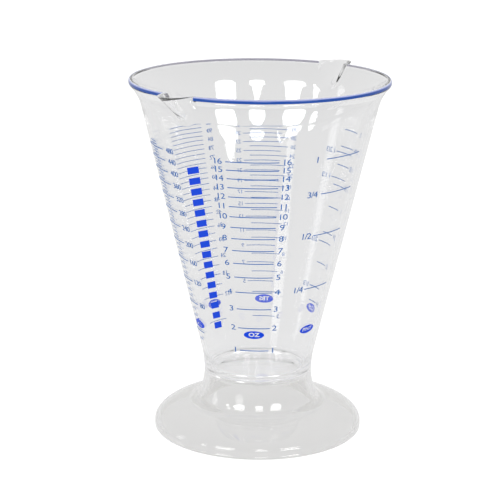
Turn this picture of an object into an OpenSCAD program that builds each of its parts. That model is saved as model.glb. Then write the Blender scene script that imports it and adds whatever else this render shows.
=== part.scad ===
// Footed conical measuring cup with two pouring spouts and six printed scales.
// Z is up, the origin is the centre of the foot's underside, and the ounce scale faces -Y.
// An azimuth is an angle about Z, counted from -Y towards +X.

/* [Cup] */
// Height of the rim above the table
rim_height = 170; // [165:1:180]
// Radius of the rim, without the spouts
rim_radius = 61; // [59:0.5:64]
// Lean of the straight wall from the vertical, in degrees
wall_lean = 13.42; // [12.8:0.02:13.6]
// Thickness of the wall
wall = 1.8; // [1.4:0.1:2.2]
// Height over which the wall flares out into the lip
lip_height = 12.6; // [11:0.2:14]
// Radius of the straight wall where the flare starts
lip_foot_radius = 55.27; // [55:0.05:55.6]
// Height of the rim's upright edge
edge = 2.1; // [1.6:0.1:2.6]
// Width of the rim's top, with its rounded outer corner
rim_width = 1.7; // [1.4:0.1:2]
// Radius of the rim's rounded outer corner
rim_round = 0.9; // [0.5:0.1:1.2]
// Height of the cup's floor above the table
floor_height = 31; // [30:0.5:33]

/* [Spouts] */
// Azimuth of the first spout's middle; the second one is opposite
spout_azimuth = -33; // [-40:0.5:-26]
// How far a spout's tip reaches past the rim
spout_reach = 10; // [7:0.5:12]
// Depth below the rim at which a spout leaves the wall
spout_drop = 12.5; // [10:0.5:13]
// Radius of a spout's round channel, measured outside
spout_radius = 8.5; // [7:0.5:9.5]

/* [Foot] */
// Radius of the foot
foot_radius = 50; // [46:1:54]
// Height of the foot's dome
dome_height = 16.4; // [14:0.2:18]
// Height of the foot's upright edge
edge_height = 2.6; // [2:0.2:3.4]
// Thickness of the foot's shell
foot_wall = 2; // [1.6:0.1:2.4]
// Height at which the neck is narrowest
neck_height = 28; // [26:0.5:28]
// Radius of the curve in which the neck leaves for the foot
foot_bend = 26; // [22:1:30]
// Lean of the neck where that curve ends, in degrees
foot_lean = 26; // [22:1:30]
// Height over which the wall turns into the neck
neck_blend = 12; // [10:0.5:14]
// Height of the seam between the cup and the foot
seam_height = 29.2; // [28.6:0.1:29.4]

/* [Scales] */
// Azimuths between which the ounce lines run
ounce_span = [-13.5, 13.5]; // [-180:0.5:180]
// Azimuths between which the pint lines run
pint_span = [39.5, 65.5]; // [-180:0.5:180]
// Azimuths between which the lines of the quarter cups run
quarter_span = [112.5, 127]; // [-180:0.5:180]
// Azimuths between which the lines of the thirds of a cup run
third_span = [112.5, 130.5]; // [-180:0.5:180]
// Azimuths between which the lines of the even tablespoons run
even_span = [166.5, 189.5]; // [-180:0.5:200]
// Azimuths between which the lines of the odd tablespoons run
odd_span = [170.5, 193.5]; // [-180:0.5:200]
// Azimuths between which the teaspoon lines run
teaspoon_span = [-141, -114.5]; // [-180:0.5:180]
// Azimuths between which the numbered millilitre lines run
millilitre_span = [-76.5, -55]; // [-180:0.5:180]
// Azimuths between which the short millilitre lines run
short_span = [-70, -61.5]; // [-180:0.5:180]
// Azimuths of the unit badges: ounce, pint, cup, tablespoon, teaspoon and millilitre
badge_azimuths = [0, 52, 120, 178, -128, -61]; // [-180:0.5:180]

/* [Print] */
// Thickness of a printed line, measured up the wall
line_width = 0.4; // [0.3:0.05:0.6]
// Thickness of the close-set lines of the spoon and millilitre scales
fine_width = 0.28; // [0.2:0.02:0.4]
// Thickness of the ink
ink = 0.12; // [0.08:0.02:0.2]
// Height of the middle of the unit badges
badge_height = 54.4; // [53:0.2:56]
// Azimuth of the column of bars beside the ounce scale
bars_azimuth = -33; // [-36:0.5:-30]
// Number of bars in the column
bars_count = 16; // [10:1:18]

/* [Hidden] */

clear = [0.90, 0.93, 0.95, 0.45];
ink_blue = [0.10, 0.28, 0.62];
bright_blue = [0.05, 0.30, 0.85];

$fn = 128;
reach_over = 1;                       // how far a cutter runs past what it cuts

// The wall: a straight cone, a flared lip above it and a neck below it
taper = tan(wall_lean);
wall_width = wall / cos(wall_lean);   // thickness of the leaning wall, measured level
lip_start = rim_height - lip_height;

function outer_radius(z) = lip_foot_radius - taper * (lip_start - z);
function inner_radius(z) = outer_radius(z) - wall_width;

// The flare's section, outside up to the rim's upright edge and inside up to the rim's flat top
outer_foot = [lip_foot_radius, lip_start];
outer_end = [rim_radius, rim_height - edge];
corner = [rim_radius - rim_round, rim_height - rim_round];
inner_foot = [inner_radius(lip_start + 1), lip_start + 1];
inner_end = [rim_radius - rim_width, rim_height];

neck_bend = neck_blend / sin(wall_lean);
neck_top = neck_height + neck_blend;
neck_radius = outer_radius(neck_top) - neck_bend * (1 - cos(wall_lean));

// The joint: a spigot ring under the cup's floor sits in the foot's collar
floor_radius = inner_radius(floor_height);
floor_fillet = 1.6;
spigot_radius = neck_radius - 2.55;
spigot_depth = 2;
spigot_wall = 1.8;
joint_gap = 0.1;
seam_bevel = 0.25;
foil_inset = 0.4;                     // how far the foil stays off the edge's lower corner
foil_end = 60;                        // how far the foil runs round the upper corner, in degrees
foil_clearance = 0.1;                 // how far the foil stays off a spout

// The foot: a hollow dome of elliptical section
dome_rise = dome_height - edge_height;
blend_radius = 34;                    // where the neck's flare runs into the dome
fillet_pull = 0.62;                   // how far the fillet's ends are steered towards its corner
collar_low = neck_height - 2;         // lower end of the collar's straight bore
underside_radius = foot_radius - foot_wall;
sole_bevel = 0.5;

// The spouts: round channels that slope up and out through the lip
ridge_start = [outer_radius(rim_height - spout_drop), rim_height - spout_drop];
spout_slope = atan2(spout_drop, rim_radius + spout_reach - ridge_start[0]);
spout_gap = asin((spout_radius + foil_clearance) / rim_radius);   // half the gap in the rim's foil

// The scales, in millilitres
fluid_ounce = 29.5735;
tablespoon = fluid_ounce / 2;
badge_half = [4.75, 2.1];

// Height of the surface of a volume of liquid in the cup's straight cone
function level(ml) =
    floor_height + (pow(pow(floor_radius, 3) + 3 * taper * ml * 1000 / PI, 1 / 3) - floor_radius) / taper;

// Points along an arc of a circle, from one angle to another
function arc(centre, radius, from, to, steps) =
    [for (i = [0:steps]) let (a = from + (to - from) * i / steps) centre + radius * [cos(a), sin(a)]];

// Points along the arc that leaves the straight wall at one point and ends at another
function lip_arc(foot, end) =
    let (lean = 2 * atan2(end[0] - foot[0], end[1] - foot[1]) - wall_lean,
        radius = (end[1] - foot[1]) / (sin(lean) - sin(wall_lean)),
        centre = foot + radius * [cos(wall_lean), -sin(wall_lean)])
    arc(centre, radius, 180 - wall_lean, 180 - lean, 12);

// Points along a cubic curve through its first and last control points
function curve(a, b, c, d, steps) =
    [for (i = [0:steps]) let (t = i / steps, s = 1 - t)
        s * s * s * a + 3 * s * s * t * b + 3 * s * t * t * c + t * t * t * d];

// Height, slope and points of the foot's elliptical dome, for its outside or its inside
function dome_at(r, radius, rise) = edge_height + rise * sqrt(1 - pow(r / radius, 2));
function dome_fall(r, radius, rise) = rise * r / (radius * sqrt(radius * radius - r * r));
function dome_points(start, radius, rise, steps) =
    let (first = acos(start / radius))
    [for (i = [1:steps]) let (a = first * (1 - i / steps)) [radius * cos(a), edge_height + rise * sin(a)]];

// From the upright neck, through a wide bend and a fillet, down to the dome with the dome's own slope
function flare(top, end, radius, rise) =
    let (along = [sin(foot_lean), -cos(foot_lean)],
        bent = top + foot_bend * [1 - cos(foot_lean), -sin(foot_lean)],
        foot = [end, dome_at(end, radius, rise)],
        fall = dome_fall(end, radius, rise),
        gap = foot - bent,
        corner = bent - (gap[1] + fall * gap[0]) / (cos(foot_lean) - fall * sin(foot_lean)) * along)
    concat(
        arc(top + [foot_bend, 0], foot_bend, 180, 180 + foot_lean, 8),
        [for (p = curve(bent, bent + fillet_pull * (corner - bent), foot + fillet_pull * (corner - foot), foot, 10))
            if (p != bent) p]
    );

module cup_outline() {
    polygon(concat(
        [[0, seam_height], [neck_radius - seam_bevel, seam_height]],
        [for (p = arc([neck_radius + neck_bend, neck_height], neck_bend, 180, 180 - wall_lean, 16))
            if (p[1] > seam_height + seam_bevel) p],
        lip_arc(outer_foot, outer_end),
        arc(corner, rim_round, 0, 90, 8),
        [[0, rim_height]]
    ));
}

module cavity_outline() {
    fillet_centre = [floor_radius - floor_fillet * tan(45 - wall_lean / 2), floor_height + floor_fillet];
    polygon(concat(
        [[0, floor_height]],
        arc(fillet_centre, floor_fillet, -90, -wall_lean, 6),
        lip_arc(inner_foot, inner_end),
        [[rim_radius - rim_width, rim_height + reach_over], [0, rim_height + reach_over]]
    ));
}

// A round channel through the lip: its lowest line leaves the wall at ridge_start
module spout_channel(radius) {
    length = 60;
    back = 14;
    rotate([0, 0, spout_azimuth - 90])
        translate([ridge_start[0], 0, ridge_start[1]])
            rotate([0, 90 - spout_slope, 0])
                translate([-spout_radius, 0, -back])
                    cylinder(r = radius, h = length);
}

module both_spouts(radius) {
    for (turn = [0, 180])
        rotate([0, 0, turn]) spout_channel(radius);
}

module cup_body() {
    color(clear) difference() {
        union() {
            rotate_extrude() cup_outline();
            intersection() {
                both_spouts(spout_radius);
                translate([0, 0, rim_height - 3 * spout_drop])
                    cylinder(r = 2 * rim_radius, h = 3 * spout_drop);
            }
            translate([0, 0, seam_height - spigot_depth])
                cylinder(r = spigot_radius, h = spigot_depth + reach_over);
        }
        rotate_extrude() cavity_outline();
        both_spouts(spout_radius - wall);
        translate([0, 0, seam_height - spigot_depth - reach_over])
            cylinder(r = spigot_radius - spigot_wall, h = spigot_depth + reach_over);
    }
}

module foot_base() {
    outside = flare([neck_radius, neck_height], blend_radius, foot_radius, dome_rise);
    bore = spigot_radius + joint_gap;
    inside = flare([bore, collar_low], blend_radius - 1, underside_radius, dome_rise - foot_wall);
    hollow = concat([[bore, seam_height]], inside,
        dome_points(blend_radius - 1, underside_radius, dome_rise - foot_wall, 14),
        [[underside_radius, 0]]);
    color(clear) rotate_extrude() polygon(concat(
        [[neck_radius - seam_bevel, seam_height], [neck_radius, seam_height - seam_bevel]],
        outside,
        dome_points(blend_radius, foot_radius, dome_rise, 16),
        [[foot_radius, sole_bevel], [foot_radius - sole_bevel, 0]],
        [for (i = [len(hollow) - 1:-1:0]) hollow[i]]
    ));
}

// Blue foil hot-stamped on the rim's upright edge and up its rounded corner, between the spouts
module rim_stamp(azimuth) {
    half = 90 - spout_gap;
    low = rim_height - edge + foil_inset;
    outside = arc(corner, rim_round + ink, foil_end, 0, 6);
    color(ink_blue) rotate([0, 0, azimuth - 90 - half]) rotate_extrude(angle = 2 * half) polygon(concat(
        [[rim_radius, low]],
        arc(corner, rim_round, 0, foil_end, 6),
        outside,
        [[rim_radius + ink, low]]
    ));
}

module rim_stamp_left() { rim_stamp(spout_azimuth - 90); }
module rim_stamp_right() { rim_stamp(spout_azimuth + 90); }

// One printed line: a thin strip that lies on the cone between two azimuths
module line(z, from, to, width) {
    low = z - width / 2;
    high = z + width / 2;
    rotate([0, 0, from - 90]) rotate_extrude(angle = to - from) polygon([
        [outer_radius(low), low], [outer_radius(low) + ink, low],
        [outer_radius(high) + ink, high], [outer_radius(high), high]
    ]);
}

// Lines at a list of volumes, left out where the badge of the scale is
module lines(volumes, span, width = line_width) {
    for (ml = volumes)
        if (abs(level(ml) - badge_height) > badge_half[1] + 2 * line_width)
            line(level(ml), span[0], span[1], width);
}

// A flat outline, drawn on the tangent plane at an azimuth, printed on the cone
module patch(azimuth, z, half_width, half_height) {
    low = z - half_height - reach_over;
    high = z + half_height + reach_over;
    spread = asin(half_width / outer_radius(z)) + 4;
    intersection() {
        rotate([0, 0, azimuth - 90 - spread]) rotate_extrude(angle = 2 * spread) polygon([
            [outer_radius(low), low], [outer_radius(low) + ink, low],
            [outer_radius(high) + ink, high], [outer_radius(high), high]
        ]);
        rotate([0, 0, azimuth]) translate([0, 0, z]) rotate([90, 0, 0])
            linear_extrude(height = 2 * rim_radius) children();
    }
}

// The oval badge under a scale, which carries the name of its unit
module badge(azimuth) {
    color(bright_blue) patch(azimuth, badge_height, badge_half[0], badge_half[1])
        polygon([for (a = [0:10:350]) [badge_half[0] * cos(a), badge_half[1] * sin(a)]]);
}

module ounce_lines() {
    color(ink_blue) lines([for (n = [1:16]) n * fluid_ounce], ounce_span);
}
module ounce_badge() { badge(badge_azimuths[0]); }

module pint_lines() {
    color(ink_blue) lines([for (n = [1:4]) n * 4 * fluid_ounce], pint_span);
}
module pint_badge() { badge(badge_azimuths[1]); }

module cup_quarter_lines() {
    color(ink_blue) lines([for (n = [1:8]) n * 2 * fluid_ounce], quarter_span);
}
module cup_third_lines() {
    color(ink_blue) lines([for (n = [1, 2, 4, 5]) n * 8 / 3 * fluid_ounce], third_span);
}
module cup_badge() { badge(badge_azimuths[2]); }

// The lines of the even and the odd tablespoons end at opposite sides, next to their numbers
module tablespoon_lines() {
    color(ink_blue) {
        lines([for (n = [2:2:32]) n * tablespoon], even_span, fine_width);
        lines([for (n = [3:2:31]) n * tablespoon], odd_span, fine_width);
    }
}
module tablespoon_badge() { badge(badge_azimuths[3]); }

// One line for every three teaspoons
module teaspoon_lines() {
    color(ink_blue) lines([for (n = [2:32]) n * tablespoon], teaspoon_span, fine_width);
}
module teaspoon_badge() { badge(badge_azimuths[4]); }

module millilitre_major_lines() {
    color(ink_blue) lines([for (ml = [40:40:480]) ml], millilitre_span);
}
module millilitre_minor_lines() {
    color(ink_blue) lines([for (ml = [30:10:500]) if (ml % 40 != 0) ml], short_span, fine_width);
}
module millilitre_badge() { badge(badge_azimuths[5]); }

// A plain column of slanted bars that widens with the cup
module side_bars() {
    bottom = 55;
    top = 137;
    half_angle = 3.9;
    rise = 0.9;
    pitch = (top - bottom) / bars_count;
    thick = pitch * 0.31;
    color(bright_blue) for (n = [0:bars_count - 1]) {
        z = bottom + (n + 0.5) * pitch;
        half = outer_radius(z) * tan(half_angle);
        patch(bars_azimuth, z, half, rise + thick) polygon([
            [-half, -thick - rise], [half, -thick + rise], [half, thick + rise], [-half, thick - rise]
        ]);
    }
}

cup_body();
foot_base();
rim_stamp_left();
rim_stamp_right();
ounce_lines();
ounce_badge();
pint_lines();
pint_badge();
cup_quarter_lines();
cup_third_lines();
cup_badge();
tablespoon_lines();
tablespoon_badge();
teaspoon_lines();
teaspoon_badge();
millilitre_major_lines();
millilitre_minor_lines();
millilitre_badge();
side_bars();
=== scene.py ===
"""Looks of the footed measuring cup: clear mouldings, printed scales, numerals, floor, light and camera."""
import math

import bmesh
import bpy
from mathutils import Matrix, Vector
from mathutils.geometry import delaunay_2d_cdt, intersect_point_tri_2d


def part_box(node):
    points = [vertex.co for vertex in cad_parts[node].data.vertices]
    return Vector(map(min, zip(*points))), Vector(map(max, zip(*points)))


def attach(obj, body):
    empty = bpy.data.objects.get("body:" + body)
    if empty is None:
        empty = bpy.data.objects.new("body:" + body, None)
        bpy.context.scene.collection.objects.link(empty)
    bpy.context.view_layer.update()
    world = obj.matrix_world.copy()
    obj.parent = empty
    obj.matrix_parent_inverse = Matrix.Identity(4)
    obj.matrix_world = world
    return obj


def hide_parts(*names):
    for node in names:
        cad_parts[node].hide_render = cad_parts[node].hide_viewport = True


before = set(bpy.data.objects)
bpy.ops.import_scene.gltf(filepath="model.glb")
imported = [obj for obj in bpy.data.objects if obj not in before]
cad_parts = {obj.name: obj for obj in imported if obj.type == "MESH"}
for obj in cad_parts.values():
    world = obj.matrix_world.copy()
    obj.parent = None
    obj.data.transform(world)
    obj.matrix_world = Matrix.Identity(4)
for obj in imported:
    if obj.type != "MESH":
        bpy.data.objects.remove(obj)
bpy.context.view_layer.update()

MM = 0.001

# Driving sizes of the cup, in millimetres, as in the design
RIM_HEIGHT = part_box("cup_body")[1].z / MM
RIM_RADIUS = 61.0
WALL_LEAN = math.radians(13.42)
WALL = 1.8
LIP_FOOT = (55.27, RIM_HEIGHT - 12.6)  # radius and height where the lip leaves the cone
RIM_EDGE = 2.1  # height of the rim's upright edge
RIM_WIDTH = 1.7
RIM_ROUND = 0.9
FLOOR_HEIGHT = 31.0
FLOOR_FILLET = 1.6
SPOUT_AZIMUTH = math.radians(-33)
SPOUT_REACH = 10.0  # how far the spout's tip stands out past the rim
SPOUT_DROP = 12.5  # how far under the rim the spout leaves the wall
SPOUT_RADIUS = 8.5

# Driving sizes of the foot and of its joint with the cup, in millimetres, as in the design
FOOT_RADIUS = 50.0
DOME_HEIGHT = 16.4
EDGE_HEIGHT = 2.6  # height of the foot's widest line
FOOT_WALL = 2.0
FOOT_BEND = 26.0  # radius of the bend under the neck
FOOT_LEAN = math.radians(26)  # lean of the foot where the bend ends
BLEND_RADIUS = 34.0  # radius where the fillet meets the dome
FILLET_PULL = 0.62  # share of the way that the fillet's handles reach to its corner
NECK_HEIGHT = 28.0
NECK_BLEND = 12.0  # height over which the neck turns into the cone
SEAM_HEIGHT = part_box("foot_base")[1].z / MM
SPIGOT_INSET = 2.55
SPIGOT_DEPTH = 2.0
SPIGOT_WALL = 1.8
JOINT_GAP = 0.1

# The badges, with half their width and height, in millimetres
BADGE_HEIGHT = 54.4
BADGE_HALF = (4.75, 2.1)

# The units of the scales, in millilitres
FLUID_OUNCE = 29.5735
TABLESPOON = FLUID_OUNCE / 2

# The clear wall is drawn this much proud, so that printed layers sit in its skin and never share its face
SKIN = 0.03
PRINT = 0.12

# Heights in metres between which the moulding's waves grow, and light is let go later, near the lip
WAVE_FADE = ((RIM_HEIGHT - 50) * MM, (RIM_HEIGHT - 15) * MM)
LIP_FADE = ((RIM_HEIGHT - 18) * MM, (RIM_HEIGHT - 12) * MM)

# Times that light meets the clear plastic before it leaves straight
WALL_BOUNCES = 4.5
LIP_BOUNCES = 6.5

# Strength of the room's light: mirrored in the plastic from the front and the back, and on all else
ROOM_FRONT = 0.62
ROOM_BACK = 0.85
ROOM_LIGHT = 1.24

# How white the floor is to the camera, and through the plastic
FLOOR_WHITE = 0.93
FLOOR_THROUGH = 0.635

TAPER = math.tan(WALL_LEAN)
WALL_WIDTH = WALL / math.cos(WALL_LEAN)
NECK_BEND = NECK_BLEND / math.sin(WALL_LEAN)
NECK_TOP = NECK_HEIGHT + NECK_BLEND


def cone_radius(z):
    """Outer radius of the straight cone."""
    return LIP_FOOT[0] - TAPER * (LIP_FOOT[1] - z)


def lip_arc(foot, end):
    """Centre and radius of the arc that leaves the straight wall at one point and ends at another."""
    lean = 2 * math.atan2(end[0] - foot[0], end[1] - foot[1]) - WALL_LEAN
    radius = (end[1] - foot[1]) / (math.sin(lean) - math.sin(WALL_LEAN))
    return foot[0] + radius * math.cos(WALL_LEAN), foot[1] - radius * math.sin(WALL_LEAN), radius


INNER_FOOT = (cone_radius(LIP_FOOT[1] + 1) - WALL_WIDTH, LIP_FOOT[1] + 1)
OUTER_ARC = lip_arc(LIP_FOOT, (RIM_RADIUS, RIM_HEIGHT - RIM_EDGE))
INNER_ARC = lip_arc(INNER_FOOT, (RIM_RADIUS - RIM_WIDTH, RIM_HEIGHT))
NECK_RADIUS = cone_radius(NECK_TOP) - NECK_BEND * (1 - math.cos(WALL_LEAN))
SPIGOT_RADIUS = NECK_RADIUS - SPIGOT_INSET
FLOOR_RADIUS = cone_radius(FLOOR_HEIGHT) - WALL_WIDTH


def level(ml):
    """Height of the surface of a volume of liquid in the cup."""
    cubed = FLOOR_RADIUS ** 3 + 3 * TAPER * ml * 1000 / math.pi
    return FLOOR_HEIGHT + (cubed ** (1 / 3) - FLOOR_RADIUS) / TAPER


def outer_radius(z):
    """Radius of the outside of the wall, with its neck and flared lip."""
    if z < NECK_TOP:
        return NECK_RADIUS + NECK_BEND - math.sqrt(NECK_BEND ** 2 - (z - NECK_HEIGHT) ** 2)
    if z <= LIP_FOOT[1]:
        return cone_radius(z)
    if z >= RIM_HEIGHT - RIM_ROUND:
        return RIM_RADIUS - RIM_ROUND + math.sqrt(max(RIM_ROUND ** 2 - (z - RIM_HEIGHT + RIM_ROUND) ** 2, 0))
    if z >= RIM_HEIGHT - RIM_EDGE:
        return RIM_RADIUS
    return OUTER_ARC[0] - math.sqrt(OUTER_ARC[2] ** 2 - (z - OUTER_ARC[1]) ** 2)


def inner_radius(z):
    """Radius of the inside of the wall, with its flared lip."""
    if z <= INNER_FOOT[1]:
        return cone_radius(z) - WALL_WIDTH
    return INNER_ARC[0] - math.sqrt(INNER_ARC[2] ** 2 - (z - INNER_ARC[1]) ** 2)


def smooth_max(a, b, width):
    """The larger of two values, rounded where they meet."""
    h = max(width - abs(a - b), 0) / width
    return max(a, b) + h * h * width / 4


RIDGE = (cone_radius(RIM_HEIGHT - SPOUT_DROP), RIM_HEIGHT - SPOUT_DROP)
SPOUT_SLOPE = math.atan2(SPOUT_DROP, RIM_RADIUS + SPOUT_REACH - RIDGE[0])
SPOUT_AXIS = (
    RIDGE[0] - SPOUT_RADIUS * math.sin(SPOUT_SLOPE),
    RIDGE[1] + SPOUT_RADIUS * math.cos(SPOUT_SLOPE))


def spout_radius(turn, z, radius):
    """How far out a spout's sloping round channel reaches, at an angle from the spout's middle, or 0 past it.

    It is where a level line from the cup's axis leaves a round bar that slopes along SPOUT_SLOPE.
    """
    k = math.sin(SPOUT_SLOPE) * SPOUT_AXIS[0] + math.cos(SPOUT_SLOPE) * (z - SPOUT_AXIS[1])
    a = math.sin(SPOUT_SLOPE) * math.cos(turn)
    b = math.sin(turn)
    under = a * a * k * k - (a * a + b * b) * (k * k - radius * radius)
    if under <= 0 or math.cos(turn) < 0.9:
        return 0
    return (a * k + math.sqrt(under)) / (a * a + b * b)


def from_spout(azimuth):
    """Angle to the nearer spout's middle."""
    turn = (azimuth - SPOUT_AZIMUTH) % math.pi
    return turn if turn < math.pi / 2 else turn - math.pi


def wall_outside(azimuth, z):
    """Radius of the outside of the wall at any azimuth, spouts and skin included."""
    return smooth_max(outer_radius(z), spout_radius(from_spout(azimuth), z, SPOUT_RADIUS), 2.0) + SKIN


def wall_inside(azimuth, z):
    """Radius of the inside of the wall at any azimuth, spouts included."""
    return smooth_max(inner_radius(z), spout_radius(from_spout(azimuth), z, SPOUT_RADIUS - WALL), 2.4)


def at(azimuth, r, z):
    """A point in metres; azimuths are counted from -Y towards +X."""
    return Vector((r * math.sin(azimuth) * MM, -r * math.cos(azimuth) * MM, z * MM))


def arc(cr, cz, radius, start, end, steps):
    """Points along an arc in the (r, z) plane, with angles in degrees."""
    angles = [math.radians(start + (end - start) * i / steps) for i in range(steps + 1)]
    return [(cr + radius * math.cos(a), cz + radius * math.sin(a)) for a in angles]


def steps_between(a, b, count):
    """Evenly spaced values from one to another, both included."""
    return [a + (b - a) * i / count for i in range(count + 1)]


def lathe(name, azimuths, column):
    """A closed mesh from one loop of (r, z, side) points per azimuth, all loops with the same count.

    The side, 0 outside and 1 inside, is kept as a value on the mesh for the material's waves.
    """
    bm = bmesh.new()
    side_layer = bm.verts.layers.float.new("side")
    loops = []
    for azimuth in azimuths:
        loop = []
        for r, z, side in column(azimuth):
            vertex = bm.verts.new(at(azimuth, r, z))
            vertex[side_layer] = side
            loop.append(vertex)
        loops.append(loop)
    for i, loop in enumerate(loops):
        following = loops[(i + 1) % len(loops)]
        for j in range(len(loop) - 1):
            bm.faces.new([loop[j], following[j], following[j + 1], loop[j + 1]])
    bmesh.ops.remove_doubles(bm, verts=bm.verts, dist=1e-7)
    bmesh.ops.recalc_face_normals(bm, faces=bm.faces)
    mesh = bpy.data.meshes.new(name)
    bm.to_mesh(mesh)
    bm.free()
    mesh.shade_smooth()
    piece = bpy.data.objects.new(name, mesh)
    bpy.context.scene.collection.objects.link(piece)
    return piece


def sided(outside, inside):
    """One outline from the points outside and the points inside."""
    return [(r, z, 0) for r, z in outside] + [(r, z, 1) for r, z in inside]


def cup_azimuths():
    """Round the cup in steps of 1.5 degrees, with finer steps at the two spouts."""
    found = []
    degrees = -90.0
    while degrees < 90 - 1e-6:
        found.append(SPOUT_AZIMUTH + math.radians(degrees))
        degrees += 0.5 if abs(degrees) < 12 - 1e-6 else 1.5
    return found + [a + math.pi for a in found]


def cup_column(azimuth):
    """One section of the cup: under its floor, up the outside, over the rim, down the inside."""
    seam = SEAM_HEIGHT + SKIN
    bottom = SEAM_HEIGHT - SPIGOT_DEPTH
    ring = SPIGOT_RADIUS - SPIGOT_WALL

    # Under the floor and round the spigot, with its small chamfers
    points = [(0, seam), (ring - 0.5, seam), (ring, seam - 0.5)]
    points += [(ring, bottom + 0.2), (ring + 0.2, bottom), (SPIGOT_RADIUS - 0.3, bottom)]
    points += [(SPIGOT_RADIUS, bottom + 0.3), (SPIGOT_RADIUS, seam - 0.1), (SPIGOT_RADIUS + 0.1, seam)]
    points += [(NECK_RADIUS - 0.3, seam), (NECK_RADIUS + 0.02, seam + 0.3)]

    # Up the outside, closer together at the lip, and round the rim's corner
    heights = steps_between(SEAM_HEIGHT + 0.8, NECK_TOP, 10)
    heights += steps_between(NECK_TOP + 8, LIP_FOOT[1] - 6, 12)
    heights += steps_between(LIP_FOOT[1] - 4, RIM_HEIGHT - RIM_EDGE - 0.1, 24)
    heights += steps_between(RIM_HEIGHT - RIM_EDGE + 0.1, RIM_HEIGHT - RIM_ROUND, 3)
    turns = [math.radians(15 * i) for i in range(1, 6)]
    heights += [RIM_HEIGHT - RIM_ROUND * (1 - math.sin(turn)) for turn in turns]
    points += [(wall_outside(azimuth, z), z) for z in heights]

    # Over the rim's flat top and down the inside
    outside = max(wall_outside(azimuth, RIM_HEIGHT), wall_inside(azimuth, RIM_HEIGHT) + 0.8)
    points += [(outside, RIM_HEIGHT + SKIN)]
    inside = wall_inside(azimuth, RIM_HEIGHT)
    down = [(inside + 0.25, RIM_HEIGHT + SKIN), (inside + 0.06, RIM_HEIGHT - 0.03)]
    heights = steps_between(RIM_HEIGHT - 0.25, LIP_FOOT[1] - 4, 26)
    heights += steps_between(LIP_FOOT[1] - 6, NECK_TOP + 8, 12)
    heights += steps_between(NECK_TOP, FLOOR_HEIGHT + 2.4, 4)
    down += [(wall_inside(azimuth, z), z) for z in heights]

    # Round the fillet and across the floor
    lean = math.degrees(WALL_LEAN)
    corner = FLOOR_RADIUS - FLOOR_FILLET * math.tan(math.radians(45) - WALL_LEAN / 2)
    down += arc(corner, FLOOR_HEIGHT + FLOOR_FILLET, FLOOR_FILLET, -lean, -90, 8)
    down += [(corner * share, FLOOR_HEIGHT) for share in (0.85, 0.6, 0.3, 0)]
    return sided(points, down)


def bezier(a, b, c, d, steps):
    """Points along a cubic curve in the (r, z) plane."""
    found = []
    for i in range(steps + 1):
        t = i / steps
        s = 1 - t
        found.append(tuple(
            s ** 3 * a[k] + 3 * s * s * t * b[k] + 3 * s * t * t * c[k] + t ** 3 * d[k] for k in (0, 1)))
    return found


def dome(start, radius, rise, steps):
    """Points down the foot's elliptical dome, from a radius to its widest line."""
    first = math.acos(start / radius)
    turns = [first * (1 - i / steps) for i in range(1, steps + 1)]
    return [(radius * math.cos(a), EDGE_HEIGHT + rise * math.sin(a)) for a in turns]


def flare(top, end, radius, rise):
    """From the upright neck, through a wide bend and a fillet, down to the dome with the dome's own slope."""
    sine, cosine = math.sin(FOOT_LEAN), math.cos(FOOT_LEAN)
    bend = arc(top[0] + FOOT_BEND, top[1], FOOT_BEND, 180, 180 + math.degrees(FOOT_LEAN), 12)
    bent = bend[-1]
    foot = (end, EDGE_HEIGHT + rise * math.sqrt(1 - (end / radius) ** 2))
    fall = rise * end / (radius * math.sqrt(radius * radius - end * end))
    along = (bent[1] - foot[1] - fall * (end - bent[0])) / (cosine - fall * sine)
    corner = (bent[0] + along * sine, bent[1] - along * cosine)
    leave = [p + FILLET_PULL * (c - p) for p, c in zip(bent, corner)]
    arrive = [p + FILLET_PULL * (c - p) for p, c in zip(foot, corner)]
    return bend + bezier(bent, leave, arrive, foot, 14)[1:]


def foot_column(azimuth):
    """One section of the foot, the same at every azimuth: down its outside, under its sole, up its hollow."""
    rise = DOME_HEIGHT - EDGE_HEIGHT
    seam = SEAM_HEIGHT - SKIN
    bore = SPIGOT_RADIUS + JOINT_GAP
    collar_low = NECK_HEIGHT - 2
    points = [(bore + 0.3, seam), (NECK_RADIUS - 0.3, seam), (NECK_RADIUS - 0.05, seam - 0.12)]
    points += [(NECK_RADIUS, seam - 0.4)]
    points += flare((NECK_RADIUS, NECK_HEIGHT), BLEND_RADIUS, FOOT_RADIUS, rise)
    points += dome(BLEND_RADIUS, FOOT_RADIUS, rise, 30)
    points += [(FOOT_RADIUS, 1.2)] + arc(FOOT_RADIUS - 0.6, 0.6, 0.6, 0, -90, 5)
    hollow = flare((bore, collar_low), BLEND_RADIUS - 1, FOOT_RADIUS - FOOT_WALL, rise - FOOT_WALL)
    hollow += dome(BLEND_RADIUS - 1, FOOT_RADIUS - FOOT_WALL, rise - FOOT_WALL, 26)
    hollow += [(FOOT_RADIUS - FOOT_WALL, 0.4), (FOOT_RADIUS - FOOT_WALL + 0.3, 0)]
    return sided(points, hollow[::-1] + [(bore, seam - 0.3), (bore + 0.3, seam)])


# ---------------------------------------------------------------- materials


def new_material(name):
    """A material with its node tree, its shader and its output."""
    material = bpy.data.materials.new(name)
    material.use_nodes = True
    tree = material.node_tree
    return material, tree, tree.nodes["Principled BSDF"], tree.nodes["Material Output"]


def node(tree, kind, **values):
    """A new node with its settings, or its inputs' values, by name."""
    made = tree.nodes.new(kind)
    for key, value in values.items():
        if hasattr(made, key):
            setattr(made, key, value)
        else:
            made.inputs[key.replace("_", " ")].default_value = value
    return made


def ramp(tree, given, made):
    """A node that maps one range of values onto another and holds it at both ends."""
    return node(
        tree, "ShaderNodeMapRange", From_Min=given[0], From_Max=given[1], To_Min=made[0], To_Max=made[1])


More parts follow.
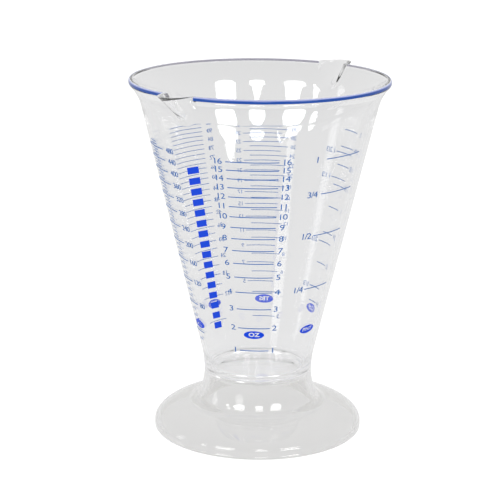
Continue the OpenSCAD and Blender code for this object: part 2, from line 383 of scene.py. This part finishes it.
def moulding_waves(tree, shader, place, height):
    """Slight waves, different on the two sides of the wall, that grow towards the lip."""
    side = node(tree, "ShaderNodeAttribute", attribute_name="side")
    layer = node(tree, "ShaderNodeMath", operation="MULTIPLY")
    layer.inputs[1].default_value = 5
    waves = node(tree, "ShaderNodeTexNoise", noise_dimensions="4D", Scale=75, Detail=1, Roughness=0.3)
    upper = ramp(tree, WAVE_FADE, (1, 1.7))
    swell = node(tree, "ShaderNodeMath", operation="MULTIPLY")
    bump = node(tree, "ShaderNodeBump", Strength=1, Distance=0.000022)
    link = tree.links.new
    link(side.outputs["Fac"], layer.inputs[0])
    link(layer.outputs["Value"], waves.inputs["W"])
    link(place, waves.inputs["Vector"])
    link(height, upper.inputs["Value"])
    link(waves.outputs["Fac"], swell.inputs[0])
    link(upper.outputs["Result"], swell.inputs[1])
    link(swell.outputs["Value"], bump.inputs["Height"])
    link(bump.outputs["Normal"], shader.inputs["Normal"])


def fine_scuffs(tree, shader, place):
    """Scuffs that dull the polish a little here and there."""
    scuffs = node(tree, "ShaderNodeTexNoise", Scale=900, Detail=4, Roughness=0.6)
    polish = ramp(tree, (0.45, 0.8), (0.01, 0.04))
    link = tree.links.new
    link(place, scuffs.inputs["Vector"])
    link(scuffs.outputs["Fac"], polish.inputs["Value"])
    link(polish.outputs["Result"], shader.inputs["Roughness"])


def let_light_out(tree, shader, output, height):
    """Lets shadow rays, and rays from matt surfaces, pass straight through the plastic.

    Light caught between its faces for long leaves straight too, as it does in a real, slightly hazy wall,
    so the thick neck isn't black. The lip lets it go later, which keeps the dark lines at its edges.
    """
    clear = node(tree, "ShaderNodeBsdfTransparent", Color=(0.975, 0.975, 0.975, 1))
    path = node(tree, "ShaderNodeLightPath")
    limit = ramp(tree, LIP_FADE, (WALL_BOUNCES, LIP_BOUNCES))
    trapped = node(tree, "ShaderNodeMath", operation="GREATER_THAN")
    either = node(tree, "ShaderNodeMath", operation="MAXIMUM")
    through = node(tree, "ShaderNodeMath", operation="MAXIMUM")
    mix = node(tree, "ShaderNodeMixShader")
    link = tree.links.new
    link(height, limit.inputs["Value"])
    link(path.outputs["Ray Depth"], trapped.inputs[0])
    link(limit.outputs["Result"], trapped.inputs[1])
    link(path.outputs["Is Shadow Ray"], either.inputs[0])
    link(path.outputs["Is Diffuse Ray"], either.inputs[1])
    link(either.outputs["Value"], through.inputs[0])
    link(trapped.outputs["Value"], through.inputs[1])
    link(through.outputs["Value"], mix.inputs[0])
    link(shader.outputs["BSDF"], mix.inputs[1])
    link(clear.outputs["BSDF"], mix.inputs[2])
    link(mix.outputs["Shader"], output.inputs["Surface"])


def clear_plastic(name, tint):
    """Clear polystyrene with the slight waves and scuffs of a moulding."""
    material, tree, shader, output = new_material(name)
    shader.inputs["Base Color"].default_value = (*tint, 1)
    shader.inputs["Transmission Weight"].default_value = 1
    shader.inputs["IOR"].default_value = 1.57
    place = node(tree, "ShaderNodeTexCoord").outputs["Object"]
    apart = node(tree, "ShaderNodeSeparateXYZ")
    tree.links.new(place, apart.inputs["Vector"])
    height = apart.outputs["Z"]
    moulding_waves(tree, shader, place, height)
    fine_scuffs(tree, shader, place)
    let_light_out(tree, shader, output, height)
    return material


def printed_ink(name, colour, thin, roughness, gloss):
    """Screen-printed ink: an even colour with the mesh's fine mottle, a little thinner in places."""
    material, tree, shader, output = new_material(name)
    place = node(tree, "ShaderNodeTexCoord")
    mottle = node(tree, "ShaderNodeTexNoise", Scale=2500, Detail=3, Roughness=0.6)
    tone = node(tree, "ShaderNodeMix", data_type="RGBA")
    tone.inputs["A"].default_value = (*colour, 1)
    tone.inputs["B"].default_value = (*thin, 1)
    bump = node(tree, "ShaderNodeBump", Strength=0.15, Distance=0.00003)
    link = tree.links.new
    link(place.outputs["Object"], mottle.inputs["Vector"])
    link(mottle.outputs["Fac"], tone.inputs["Factor"])
    link(mottle.outputs["Fac"], bump.inputs["Height"])
    link(tone.outputs["Result"], shader.inputs["Base Color"])
    link(bump.outputs["Normal"], shader.inputs["Normal"])
    shader.inputs["Roughness"].default_value = roughness
    shader.inputs["Specular IOR Level"].default_value = gloss
    return material


def stamped_foil(name):
    """Gloss blue foil with a painted pale lavender sheen where it faces up, over the rim's rounded corner;
    its reverse is grey.
    """
    material = printed_ink(name, (0.001, 0.035, 0.23), (0.003, 0.06, 0.31), 0.12, 0.35)
    tree = material.node_tree
    shader = tree.nodes["Principled BSDF"]
    front = shader.inputs["Base Color"].links[0].from_socket
    surface = node(tree, "ShaderNodeNewGeometry")
    apart = node(tree, "ShaderNodeSeparateXYZ")
    # Painted sheen: pale lavender is mixed in where the foil's normal points up, in place of the lamps'
    # highlights on the rounded corner
    upward_sheen_mask = ramp(tree, (0.25, 0.85), (0, 1))
    painted_sheen = node(tree, "ShaderNodeMix", data_type="RGBA")
    painted_sheen.inputs["B"].default_value = (0.42, 0.45, 0.68, 1)
    outward = node(tree, "ShaderNodeVectorMath", operation="DOT_PRODUCT")
    facing = node(tree, "ShaderNodeMath", operation="GREATER_THAN")
    facing.inputs[1].default_value = 0
    both = node(tree, "ShaderNodeMix", data_type="RGBA")
    both.inputs["A"].default_value = (0.30, 0.29, 0.34, 1)
    link = tree.links.new
    link(surface.outputs["True Normal"], apart.inputs["Vector"])
    link(apart.outputs["Z"], upward_sheen_mask.inputs["Value"])
    link(upward_sheen_mask.outputs["Result"], painted_sheen.inputs["Factor"])
    link(front, painted_sheen.inputs["A"])
    link(surface.outputs["True Normal"], outward.inputs[0])
    link(surface.outputs["Position"], outward.inputs[1])
    link(outward.outputs["Value"], facing.inputs[0])
    link(facing.outputs["Value"], both.inputs["Factor"])
    link(painted_sheen.outputs["Result"], both.inputs["B"])
    link(both.outputs["Result"], shader.inputs["Base Color"])
    return material


PLASTIC = clear_plastic("clear_plastic", (0.972, 0.972, 0.975))
FOOT_PLASTIC = clear_plastic("foot_plastic", (0.875, 0.871, 0.863))
SCALE_INK = printed_ink("scale_ink", (0.005, 0.085, 0.31), (0.014, 0.12, 0.39), 0.4, 0.2)
BADGE_INK = printed_ink("badge_ink", (0.001, 0.04, 0.52), (0.002, 0.055, 0.60), 0.35, 0.15)
RIM_FOIL = stamped_foil("rim_foil")


def give(piece, material):
    """Makes this the piece's only material."""
    piece.data.materials.clear()
    piece.data.materials.append(material)


# ---------------------------------------------------------------- clear mouldings

cup = lathe("cup_clear", cup_azimuths(), cup_column)
give(cup, PLASTIC)
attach(cup, "root")
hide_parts("cup_body")

foot = lathe("foot_clear", [math.radians(a) for a in range(0, 360, 2)], foot_column)
give(foot, FOOT_PLASTIC)
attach(foot, "root")
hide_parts("foot_base")

# ---------------------------------------------------------------- print

for name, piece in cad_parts.items():
    if name.endswith("_lines"):
        give(piece, SCALE_INK)
    elif name.startswith("rim_stamp"):
        give(piece, RIM_FOIL)
    elif name == "side_bars":
        give(piece, BADGE_INK)


def flat_text(text, size, stretch=1.0, weight=0.0, spacing=1.0):
    """A flat mesh of a piece of text, centred, with capitals this tall in millimetres."""
    capitals = 0.729  # height of the font's capitals, at size 1
    curve = bpy.data.curves.new("text", "FONT")
    curve.body = text
    curve.size = size / capitals
    curve.align_x = "CENTER"
    curve.align_y = "CENTER"
    curve.resolution_u = 3
    curve.offset = weight * size
    curve.space_character = spacing
    holder = bpy.data.objects.new("text", curve)
    bpy.context.scene.collection.objects.link(holder)
    graph = bpy.context.evaluated_depsgraph_get()
    mesh = bpy.data.meshes.new_from_object(holder.evaluated_get(graph))
    bpy.data.objects.remove(holder)
    bm = bmesh.new()
    bm.from_mesh(mesh)
    bpy.data.meshes.remove(mesh)
    bmesh.ops.remove_doubles(bm, verts=bm.verts, dist=1e-4)
    bmesh.ops.scale(bm, vec=(stretch, 1, 1), verts=bm.verts)
    return bm


def wrap(bm, azimuth, z):
    """Cuts a flat mesh in millimetres into strips, bends it onto the cone and makes it as thick as ink."""
    strip = 0.6  # millimetres
    width = max(abs(v.co.x) for v in bm.verts)
    cut = -width + strip
    while cut < width:
        geometry = bm.verts[:] + bm.edges[:] + bm.faces[:]
        bmesh.ops.bisect_plane(bm, geom=geometry, dist=1e-5, plane_co=(cut, 0, 0), plane_no=(1, 0, 0))
        cut += strip
    for face in bm.faces:
        face.normal_update()
        if face.normal.z < 0:
            face.normal_flip()
    raised = bmesh.ops.extrude_face_region(bm, geom=bm.faces[:])

    # A z of 1 marks the ink's outer face until the mesh is bent
    for v in raised["geom"]:
        if isinstance(v, bmesh.types.BMVert):
            v.co.z = 1
    for v in bm.verts:
        height = z + v.co.y * math.cos(WALL_LEAN)
        r = cone_radius(height)
        offset = PRINT if v.co.z > 0.5 else 0
        v.co = at(azimuth + v.co.x / r, r + offset, height)
    bmesh.ops.recalc_face_normals(bm, faces=bm.faces)


def finish_print(name, parts, material):
    """One piece from several wrapped meshes."""
    mesh = bpy.data.meshes.new(name)
    whole = bmesh.new()
    for bm in parts:
        part = bpy.data.meshes.new("part")
        bm.to_mesh(part)
        bm.free()
        whole.from_mesh(part)
        bpy.data.meshes.remove(part)
    whole.to_mesh(mesh)
    whole.free()
    piece = bpy.data.objects.new(name, mesh)
    bpy.context.scene.collection.objects.link(piece)
    give(piece, material)
    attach(piece, "root")
    return piece


def numerals(name, labels, azimuth, size, stretch=1.15):
    """Numerals beside the lines of a scale, at an azimuth in degrees, from (text, millilitres) pairs."""
    parts = []
    for text, ml in labels:
        bm = flat_text(text, size, stretch, spacing=0.88)
        wrap(bm, math.radians(azimuth), level(ml))
        parts.append(bm)
    return finish_print(name, parts, SCALE_INK)


QUARTER_CUPS = ["1/4", "1/2", "3/4", "1", "1 1/4", "1 1/2", "1 3/4", "2"]
THIRD_CUPS = {1: "1/3", 2: "2/3", 4: "1 1/3", 5: "1 2/3"}

ounces = [(str(n), n * FLUID_OUNCE) for n in range(1, 17)]
numerals("ounce_numerals_left", ounces, -17.8, 2.9, 1.25)
numerals("ounce_numerals_right", ounces, 17.4, 2.9, 1.25)
pints = [(QUARTER_CUPS[n - 1], n * 4 * FLUID_OUNCE) for n in range(1, 5)]
numerals("pint_numerals", pints, 34, 3.1)
quarters = [(QUARTER_CUPS[n - 1], n * 2 * FLUID_OUNCE) for n in range(1, 9)]
numerals("cup_quarter_numerals", quarters, 106, 2.5)
thirds = [(THIRD_CUPS[n], n * 8 / 3 * FLUID_OUNCE) for n in THIRD_CUPS]
numerals("cup_third_numerals", thirds, 135.5, 2.5)
even_spoons = [(str(n), n * TABLESPOON) for n in range(2, 33, 2)]
numerals("tablespoon_numerals_even", even_spoons, 163, 2.0)
odd_spoons = [(str(n), n * TABLESPOON) for n in range(5, 32, 2)]
numerals("tablespoon_numerals_odd", odd_spoons, 196.5, 2.0)
teaspoons = [(str(3 * n), n * TABLESPOON) for n in range(4, 33, 2)]
numerals("teaspoon_numerals", teaspoons, -146, 2.2)
millilitres = [(str(ml), ml) for ml in range(80, 481, 40)]
numerals("millilitre_numerals", millilitres, -48.5, 2.7)


def badge(node_name, text, azimuth, size):
    """The oval badge under a scale, at an azimuth in degrees, with the unit's name left clear in it."""
    letters = flat_text(text, size, 1.15, 0.045)
    bmesh.ops.triangulate(letters, faces=letters.faces)
    letters.verts.index_update()
    points = [v.co.xy for v in letters.verts]
    edges = [[v.index for v in edge.verts] for edge in letters.edges if edge.is_boundary]
    strokes = [[v.co.xy for v in face.verts] for face in letters.faces]
    letters.free()
    first = len(points)
    count = 72  # sides of the oval
    for i in range(count):
        a = 2 * math.pi * i / count
        points.append(Vector((BADGE_HALF[0] * math.cos(a), BADGE_HALF[1] * math.sin(a))))
        edges.append((first + i, first + (i + 1) % count))

    # The ink is every triangle of the oval that isn't in a letter's stroke
    places, _, triangles = delaunay_2d_cdt(points, edges, [], 0, 1e-5)[:3]
    bm = bmesh.new()
    corners = [bm.verts.new((place.x, place.y, 0)) for place in places]
    for triangle in triangles:
        middle = sum((places[i] for i in triangle), Vector((0, 0))) / 3
        if not any(intersect_point_tri_2d(middle, *stroke) for stroke in strokes):
            bm.faces.new([corners[i] for i in triangle])
    bmesh.ops.delete(bm, geom=[v for v in bm.verts if not v.link_faces], context="VERTS")
    wrap(bm, math.radians(azimuth), BADGE_HEIGHT)
    piece = finish_print(node_name + "_print", [bm], BADGE_INK)
    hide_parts(node_name)


badge("ounce_badge", "OZ", 0, 2.2)
badge("pint_badge", "PINT", 52, 1.9)
badge("cup_badge", "CUP", 120, 2.0)
badge("tablespoon_badge", "TBS", 178, 2.0)
badge("teaspoon_badge", "TSP", -128, 2.0)
badge("millilitre_badge", "ML", -61, 2.2)

# ---------------------------------------------------------------- floor, light and camera


def make_floor():
    """A wide floor, as white to the camera as a cut-out background, and pale grey through the plastic."""
    bm = bmesh.new()
    bmesh.ops.create_circle(bm, cap_ends=True, radius=6, segments=96)
    mesh = bpy.data.meshes.new("floor")
    bm.to_mesh(mesh)
    bm.free()
    floor = bpy.data.objects.new("floor", mesh)
    floor.location.z = -0.0001
    bpy.context.scene.collection.objects.link(floor)
    material, tree, shader, output = new_material("white_floor")
    shader.inputs["Roughness"].default_value = 0.9
    shader.inputs["Specular IOR Level"].default_value = 0.1
    path = node(tree, "ShaderNodeLightPath")
    tone = node(tree, "ShaderNodeMix", data_type="RGBA")
    tone.inputs["A"].default_value = (FLOOR_THROUGH, FLOOR_THROUGH, FLOOR_THROUGH, 1)
    tone.inputs["B"].default_value = (FLOOR_WHITE, FLOOR_WHITE, FLOOR_WHITE, 1)
    tree.links.new(path.outputs["Is Camera Ray"], tone.inputs["Factor"])
    tree.links.new(tone.outputs["Result"], shader.inputs["Base Color"])
    give(floor, material)


def softbox(name, azimuth, elevation, size, radiance):
    """A small oval lamp 1.5 m from the cup, seen from it at an azimuth and elevation in degrees."""
    distance = 1.5
    centre = Vector((0, 0.047, 0.15))
    turn, lift = math.radians(azimuth), math.radians(elevation)
    level_away = math.cos(lift)
    away = Vector((math.sin(turn) * level_away, -math.cos(turn) * level_away, math.sin(lift)))
    lamp = bpy.data.lights.new(name, "AREA")
    lamp.shape = "ELLIPSE"
    lamp.size, lamp.size_y = size
    lamp.energy = radiance * math.pi * size[0] * size[1]
    light = bpy.data.objects.new(name, lamp)
    light.location = centre + distance * away
    light.rotation_euler = (-away).to_track_quat("-Z", "Y").to_euler()
    bpy.context.scene.collection.objects.link(light)


def make_camera():
    """Stands a little right of the ounce scale, back from the cup and above it, and looks down 15 degrees."""
    height = RIM_HEIGHT * MM
    azimuth = math.radians(3.6)
    pitch, yaw, roll = 0.26228, -0.00533, 0.00664  # radians
    lens = bpy.data.cameras.new("camera")
    lens.lens = 122.39
    lens.sensor_width = 36
    camera = bpy.data.objects.new("camera", lens)
    forward = Vector((math.sin(yaw) * math.cos(pitch), math.cos(yaw) * math.cos(pitch), -math.sin(pitch)))
    right = Vector((math.cos(yaw), -math.sin(yaw), 0))
    up = right.cross(forward)
    rolled_right = math.cos(roll) * right + math.sin(roll) * up
    rolled_up = math.cos(roll) * up - math.sin(roll) * right
    turn = Matrix((rolled_right, rolled_up, -forward)).transposed().to_4x4()
    place = Vector((0, -4.60729 * height, 1.74928 * height))
    round_z = Matrix.Rotation(azimuth, 4, "Z")
    camera.matrix_world = round_z @ Matrix.Translation(place) @ turn
    bpy.context.scene.collection.objects.link(camera)
    bpy.context.scene.camera = camera


def make_world():
    """Even white light, also behind the floor's edge; the plastic mirrors and bends a greyer room."""
    world = bpy.data.worlds.new("studio")
    world.use_nodes = True
    tree = world.node_tree
    background = tree.nodes["Background"]
    background.inputs["Color"].default_value = (1, 1, 1, 1)
    place = node(tree, "ShaderNodeTexCoord")
    axes = node(tree, "ShaderNodeSeparateXYZ")
    room = ramp(tree, (-0.8, 0.6), (ROOM_FRONT, ROOM_BACK))
    path = node(tree, "ShaderNodeLightPath")
    plain = node(tree, "ShaderNodeMath", operation="MAXIMUM")
    pick = node(tree, "ShaderNodeMix", data_type="FLOAT")
    pick.inputs["B"].default_value = ROOM_LIGHT
    link = tree.links.new
    link(place.outputs["Generated"], axes.inputs["Vector"])
    link(axes.outputs["Y"], room.inputs["Value"])
    link(path.outputs["Is Diffuse Ray"], plain.inputs[0])
    link(path.outputs["Is Camera Ray"], plain.inputs[1])
    link(plain.outputs["Value"], pick.inputs["Factor"])
    link(room.outputs["Result"], pick.inputs["A"])
    link(pick.outputs["Result"], background.inputs["Strength"])
    bpy.context.scene.world = world


make_floor()
make_camera()
make_world()
softbox("right_window", 40, 18.4, (0.58, 0.31), 5.5)
softbox("middle_window", 6.5, 21, (0.42, 0.22), 5.5)
softbox("left_window", -33, 19.8, (0.60, 0.26), 5.5)
softbox("side_window", -56.5, 16, (0.18, 0.14), 5)
softbox("left_glow", -33, 5, (0.46, 0.50), 1.25)
softbox("right_glow", -88, 6, (0.30, 0.60), 1.1)
bpy.context.scene.view_settings.view_transform = "Standard"
